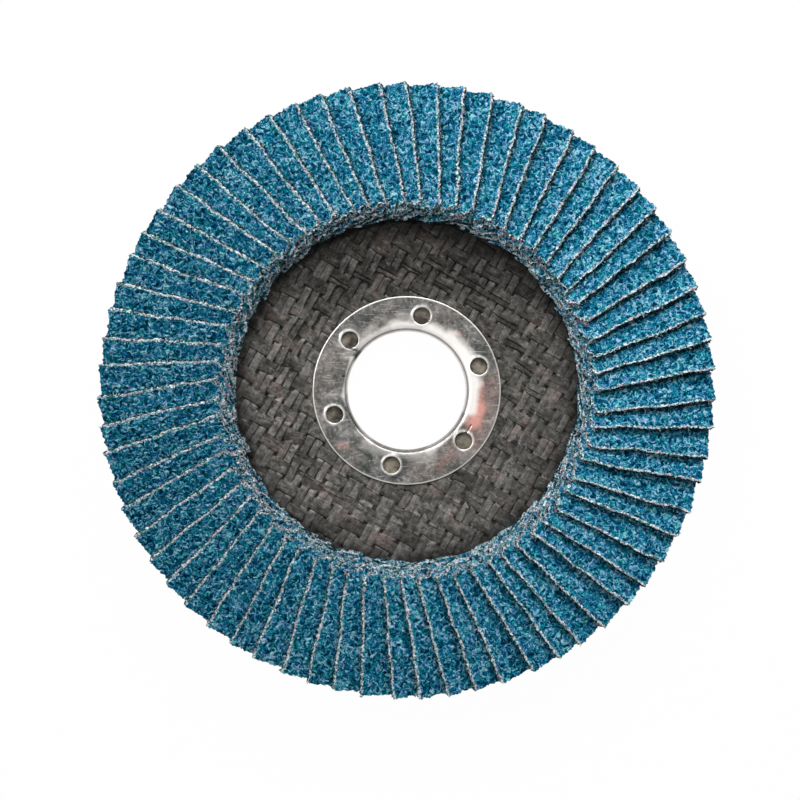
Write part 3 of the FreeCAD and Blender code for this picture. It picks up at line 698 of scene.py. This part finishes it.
steelRing = {
    "segments": 420,
    "outerRadius": 17.73, "lipRadius": 12.315, "boreRadius": 11.115,
    "top": 3.44, "foot": 0.2, "sheet": 0.44, "edgeBend": 0.14, "lipBend": 1.2,
    "grooveRadius": 11.5, "grooveDepth": 0.12,  # the fine line pressed just inside the lip
    "flangeRows": 26, "lipRows": 9, "collarRows": 3,
    "holeCount": 6, "holeRadius": 1.6, "holeCircle": 14.3, "holeTurn": 18.5,
    "burrHeight": 0.15, "burrWidth": 0.26, "burrOut": 0.17,
    "waveHeight": 0.03, "rippleHeight": 0.008, "flatInside": 11.3,  # the bore itself stays true
    "smoothReach": 0.6, "smoothSteps": 6,
    "dents": [  # from, to (radius, degrees), half width and depth in mm
        ((12.0, 141.5), (13.2, 143.5), 0.2, 0.22), ((13.7, -36.5), (13.75, -28.0), 0.12, 0.16),
        ((12.0, 167.0), (12.25, 168.0), 0.2, 0.14), ((14.6, 50.0), (16.6, 45.0), 0.07, 0.03),
    ],
    "bright": [  # from, to (radius, degrees), reach in mm and strength of the painted reflections on the lip and flange
        ((12.2, -16.0), (12.4, 5.0), 1.9, 0.9), ((12.4, 5.0), (12.5, 30.0), 2.3, 0.95),
        ((12.5, 30.0), (12.3, 50.0), 2.5, 0.95), ((12.3, 50.0), (12.1, 72.0), 2.1, 0.85),
        ((12.1, 72.0), (12.1, 100.0), 1.9, 0.72), ((12.0, 100.0), (12.0, 135.0), 1.5, 0.6),
        ((11.8, 150.0), (11.8, 185.0), 0.7, 0.7), ((11.8, 185.0), (11.9, 235.0), 0.8, 0.45),
        ((12.2, 235.0), (12.8, 290.0), 2.0, 0.24), ((12.2, 290.0), (12.2, 342.0), 1.3, 0.45),
        ((13.2, 118.0), (13.0, 150.0), 1.2, 0.2), ((13.6, 72.0), (14.0, 95.0), 1.4, 0.2),
    ],
    "blush": [  # the same for the painted pink reflection
        ((13.9, -13.0), (14.0, -25.0), 2.1, 0.8), ((14.0, -12.0), (13.8, 4.0), 1.2, 0.5),
        ((14.4, -54.0), (15.4, -66.0), 1.6, 0.14), ((15.4, 222.0), (16.2, 220.0), 1.2, 0.22),
        ((13.8, 52.0), (14.5, 47.0), 0.6, 0.4), ((16.2, -36.0), (16.0, 4.0), 2.4, 0.1),
    ],
}


def polar(radius, degrees):
    return Vector((radius * math.cos(math.radians(degrees)), radius * math.sin(math.radians(degrees))))


holeCentres = [
    polar(steelRing["holeCircle"], steelRing["holeTurn"] + hole * 360 / steelRing["holeCount"])
    for hole in range(steelRing["holeCount"])]


def gapToLine(point, start, end):  # how far a point lies from a line given by its two polar ends
    a, b = polar(*start), polar(*end)
    share = max(0.0, min(1.0, (point - a).dot(b - a) / (b - a).length_squared))
    return (point - a - share * (b - a)).length


def gapToHole(point):
    return min((point - centre).length for centre in holeCentres) - steelRing["holeRadius"]


def unevenness(point, layer, scale):
    return noise.noise(Vector((point.x, point.y, layer)) * scale)


def ringHeight(point):  # dents, burrs round the holes and the sheet's slight waviness
    wave, ripple = unevenness(point, 0, 0.35), unevenness(point, 3, 1.4)
    height = steelRing["waveHeight"] * wave + steelRing["rippleHeight"] * ripple
    for start, end, halfWidth, depth in steelRing["dents"]:
        height -= depth * math.exp(-(gapToLine(point, start, end) / halfWidth) ** 2)
    burr = (gapToHole(point) - steelRing["burrOut"]) / steelRing["burrWidth"]
    height += steelRing["burrHeight"] * math.exp(-burr ** 2)
    return height * min(1.0, max(0.0, (point.length - steelRing["flatInside"]) / 0.8))


def markAt(point, lines, slope, mottle):  # the strongest of the marks that reach this point
    strongest = 0.0
    for start, end, reach, strength in lines:
        near = (1 - gapToLine(point, start, end) / reach) * slope + mottle
        strongest = max(strongest, strength * min(1.0, max(0.0, near)))
    return strongest


def ringWearAndPaintedLight(point):  # worn bright hole rims, painted reflections on the lip and flange and a painted highlight on the outer edge; then a painted pink reflection and painted shade in the groove and dents
    mottle = 0.35 * unevenness(point, 7, 0.9) + 0.15 * unevenness(point, 9, 2.7)
    holeRim = (0.6 + 1.4 * mottle) * max(0.0, 1.0 - max(0.0, gapToHole(point) - 0.12) / 0.42)
    # painted highlight: a thin bright line along the outer edge
    outerEdge = min(0.9, max(0.0, (point.length - steelRing["outerRadius"] + 0.2) / 0.1))
    rubbed = max(holeRim, outerEdge, markAt(point, steelRing["bright"], 1.7, 0.7 * mottle))
    # painted pink reflection of the surroundings on the flange
    blush = markAt(point, steelRing["blush"], 1.4, 0.6 * mottle)
    # painted shade in the pressed groove and along the deeper dents
    dark = 0.85 * math.exp(-((point.length - steelRing["grooveRadius"]) / 0.09) ** 2)
    for start, end, halfWidth, depth in steelRing["dents"]:
        if depth > 0.05:
            dark = max(dark, math.exp(-(gapToLine(point, start, end) / halfWidth) ** 2))
    return rubbed, blush, dark


def ringRows():  # radius and height of the sheet's upper side, from the outer edge down into the bore
    edge, top, bend = steelRing["outerRadius"], steelRing["top"], steelRing["lipBend"]
    flangeEdge = edge - steelRing["edgeBend"]
    flangeRun = steelRing["lipRadius"] - edge + steelRing["edgeBend"]
    rows = [(edge, top - 0.12), (edge - 0.05, top - 0.03), (flangeEdge, top)]
    for step in range(1, steelRing["flangeRows"] + 1):
        rows.append((flangeEdge + flangeRun * step / steelRing["flangeRows"], top))
    for step in range(1, steelRing["lipRows"] + 1):
        turn = math.pi / 2 * step / steelRing["lipRows"]
        radius = steelRing["lipRadius"] - bend * math.sin(turn)
        groove = steelRing["grooveDepth"] * math.exp(-((radius - steelRing["grooveRadius"]) / 0.1) ** 2)
        rows.append((radius, top - bend * (1 - math.cos(turn)) - groove))
    lowest = rows[-1][1]
    for step in range(1, steelRing["collarRows"] + 1):
        drop = (steelRing["foot"] - lowest) * step / steelRing["collarRows"]
        rows.append((steelRing["boreRadius"], lowest + drop))
    return rows


def ringMesh():
    shell = bmesh.new()
    segments, holeRadius = steelRing["segments"], steelRing["holeRadius"]
    rings = []
    for radius, height in ringRows():
        points = [polar(radius, 360 * step / segments) for step in range(segments)]
        rings.append([shell.verts.new((point.x, point.y, height)) for point in points])
    for inner, outer in zip(rings[1:], rings[:-1]):
        for step in range(segments):
            after = (step + 1) % segments
            shell.faces.new((outer[step], outer[after], inner[after], inner[step]))
    for centre in holeCentres:
        inside = [f for f in shell.faces if (f.calc_center_median().xy - centre).length < holeRadius]
        bmesh.ops.delete(shell, geom=inside, context="FACES")
        around = [v for v in shell.verts if (v.co.xy - centre).length < holeRadius + steelRing["smoothReach"]]
        for vert in (v for v in around if v.is_boundary):  # pulled onto the hole's true circle
            out = (vert.co.xy - centre).normalized() * holeRadius + centre
            vert.co.x, vert.co.y = out.x, out.y
        inner = [v for v in around if not v.is_boundary]
        for _ in range(steelRing["smoothSteps"]):
            bmesh.ops.smooth_vert(shell, verts=inner, factor=0.5, use_axis_x=True, use_axis_y=True)
    wearAndPaintedLight = []
    for vert in shell.verts:
        wearAndPaintedLight.append(ringWearAndPaintedLight(vert.co.xy))
        vert.co.z += ringHeight(vert.co.xy)
    bmesh.ops.scale(shell, vec=(mm, mm, mm), verts=shell.verts)
    for face in shell.faces:
        face.smooth = True
    mesh = bpy.data.meshes.new("ring_sheet")
    shell.to_mesh(mesh)
    shell.free()
    for place, label in enumerate(("rubbed", "blush", "crack")):
        values = mesh.attributes.new(label, "FLOAT", "POINT")
        values.data.foreach_set("value", [each[place] for each in wearAndPaintedLight])
    return mesh


def tinnedSteel():  # dull tin plate: cloudy grey, worn bright at the hole rims, painted reflections at the lip and flange, a painted highlight on the outer edge, a painted pink reflection, painted shade in the groove and dents
    material, add = startMaterial("worn_tin_plate")
    place = inMillimetres(add)
    rubbed, blush, crack = (
        add("Attribute", attribute_name=name).outputs["Fac"] for name in ("rubbed", "blush", "crack"))
    cloud = add("TexNoise", {
        "Vector": place, "Scale": 0.4, "Detail": 6.0, "Roughness": 0.66, "Distortion": 0.5})
    colour = add("ValToRGB", [cloud], stops=[
        (0.34, "363a38"), (0.44, "4f5250"), (0.51, "636361"), (0.59, "7a7876"), (0.70, "a5a29f")])
    warm = add("TexNoise", {"Vector": place, "Scale": 0.12, "Detail": 1.0})
    speck = add("TexNoise", {"Vector": place, "Scale": 1.7, "Detail": 3.0, "Roughness": 0.7})
    speckMost = add("MapRange", [blush, 0.1, 0.5, 0.5, 0.12])
    drawn = add("Mapping", {"Vector": place, "Rotation": (0, 0, 0.9), "Scale": (0.4, 3.4, 1.0)})
    scratch = add("TexNoise", {"Vector": drawn, "Scale": 1.0})
    for mask, tone in (
            (add("MapRange", [warm, 0.45, 0.6, 0.0, 0.15]), "a8968d"),
            (blush, "d89b8f"),
            (add("MapRange", [speck, 0.45, 0.37, 0.0, speckMost]), "2f3230"),
            (add("MapRange", [speck, 0.58, 0.70, 0.0, 0.5]), "b9b8b4"),
            (add("MapRange", [scratch, 0.63, 0.70, 0.0, 0.35]), "c4c2be"),
            (rubbed, "eeeae6"),
            (crack, "24201d")):
        colour = add("Mix", [mask, colour, fromHex(tone)], data_type="RGBA")
    fine = add("TexNoise", {"Vector": place, "Scale": 2.5, "Detail": 3.0})
    return endMaterial(material, add, {
        "Base Color": colour,
        "Metallic": 1.0,
        "Roughness": add("MapRange", [cloud, 0.3, 0.7, 0.44, 0.28]),
        "Normal": add("Bump", {"Strength": 0.35, "Distance": 0.00004, "Height": fine})})


ring = addPiece("steel_ring", ringMesh(), tinnedSteel())
sheet = ring.modifiers.new("sheet", "SOLIDIFY")
sheet.thickness = steelRing["sheet"] * mm
sheet.offset = -1
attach(ring, "root")
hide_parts("arbor_ring")
print("ring made")


studio = {
    "floorSize": 3.0, "floorDrop": 0.0002, "floorGlow": 0.985, "fillStrength": 0.115,
    "cameraHeight": 1.0, "sensorWidth": 36.0,
    "viewWidth": 148.9, "shiftRight": 1.25, "shiftUp": 1.8,  # mm seen across, and the disc off centre
    "lamps": {  # azimuth and height in degrees, the rest in metres and watts
        "key": {"azimuth": 72, "height": 50, "distance": 0.9, "wide": 0.09, "deep": 0.09, "power": 0.25},
        "low": {"azimuth": 86, "height": 39, "distance": 0.3, "wide": 0.5, "deep": 0.12, "power": 1.06},
        "side": {"azimuth": 150, "height": 60, "distance": 0.4, "wide": 0.05, "deep": 0.05, "power": 0.42},
    },
}


def seenPlainly(add):  # 1 where the eye meets it directly, in gloss or through glass
    ray = add("LightPath").outputs
    seen = add("Math.MAXIMUM", [ray["Is Camera Ray"], ray["Is Glossy Ray"]])
    return add("Math.MAXIMUM", [seen, ray["Is Transmission Ray"]])


def whiteTable():  # matt white board, plain white to the eye and still holding the shadow
    material, add = startMaterial("white_table")
    amount = add("Math.MULTIPLY", [seenPlainly(add), studio["floorGlow"]])
    matte = add("BsdfDiffuse", {"Color": fromHex("f6f6f6")})
    add("OutputMaterial", {"Surface": add("MixShader", [amount, matte, add("Emission")])})
    return material


half = studio["floorSize"] / 2
floorMesh = bpy.data.meshes.new("floor")
floorCorners = [(-half, -half, 0), (half, -half, 0), (half, half, 0), (-half, half, 0)]
floorMesh.from_pydata(floorCorners, [], [(0, 1, 2, 3)])
floor = addPiece("floor", floorMesh, whiteTable())
floor.location.z = -studio["floorDrop"]

world = bpy.data.worlds.new("studio")
bpy.context.scene.world = world
world.use_nodes = True
sky = world.node_tree.nodes["Background"]
sky.inputs["Color"].default_value = (1, 1, 1, 1)
addSky = partial(addNode, world.node_tree)
skyStrength = addSky("MapRange", [seenPlainly(addSky), 0.0, 1.0, studio["fillStrength"], 1.0])
world.node_tree.links.new(skyStrength.outputs[0], sky.inputs["Strength"])

for label, setting in studio["lamps"].items():
    lamp = bpy.data.lights.new(label, "AREA")
    lamp.shape = "RECTANGLE"
    lamp.size = setting["wide"]
    lamp.size_y = setting["deep"]
    lamp.energy = setting["power"]
    stand = bpy.data.objects.new(label, lamp)
    stand.visible_camera = False
    azimuth, height = math.radians(setting["azimuth"]), math.radians(setting["height"])
    level = math.cos(height)
    way = Vector((math.cos(azimuth) * level, math.sin(azimuth) * level, math.sin(height)))
    stand.location = way * setting["distance"]
    stand.rotation_euler = way.to_track_quat("Z", "Y").to_euler()
    bpy.context.scene.collection.objects.link(stand)

lens = bpy.data.cameras.new("camera")
camera = bpy.data.objects.new("camera", lens)
camera.location = (-studio["shiftRight"] * mm, -studio["shiftUp"] * mm, studio["cameraHeight"])
lens.sensor_width = studio["sensorWidth"]
lens.lens = studio["sensorWidth"] * (studio["cameraHeight"] - cadBox[1].z) / (studio["viewWidth"] * mm)
lens.clip_start, lens.clip_end = 0.01, 10.0
bpy.context.scene.collection.objects.link(camera)
bpy.context.scene.camera = camera
bpy.context.scene.view_settings.view_transform = "Standard"
print("studio set")
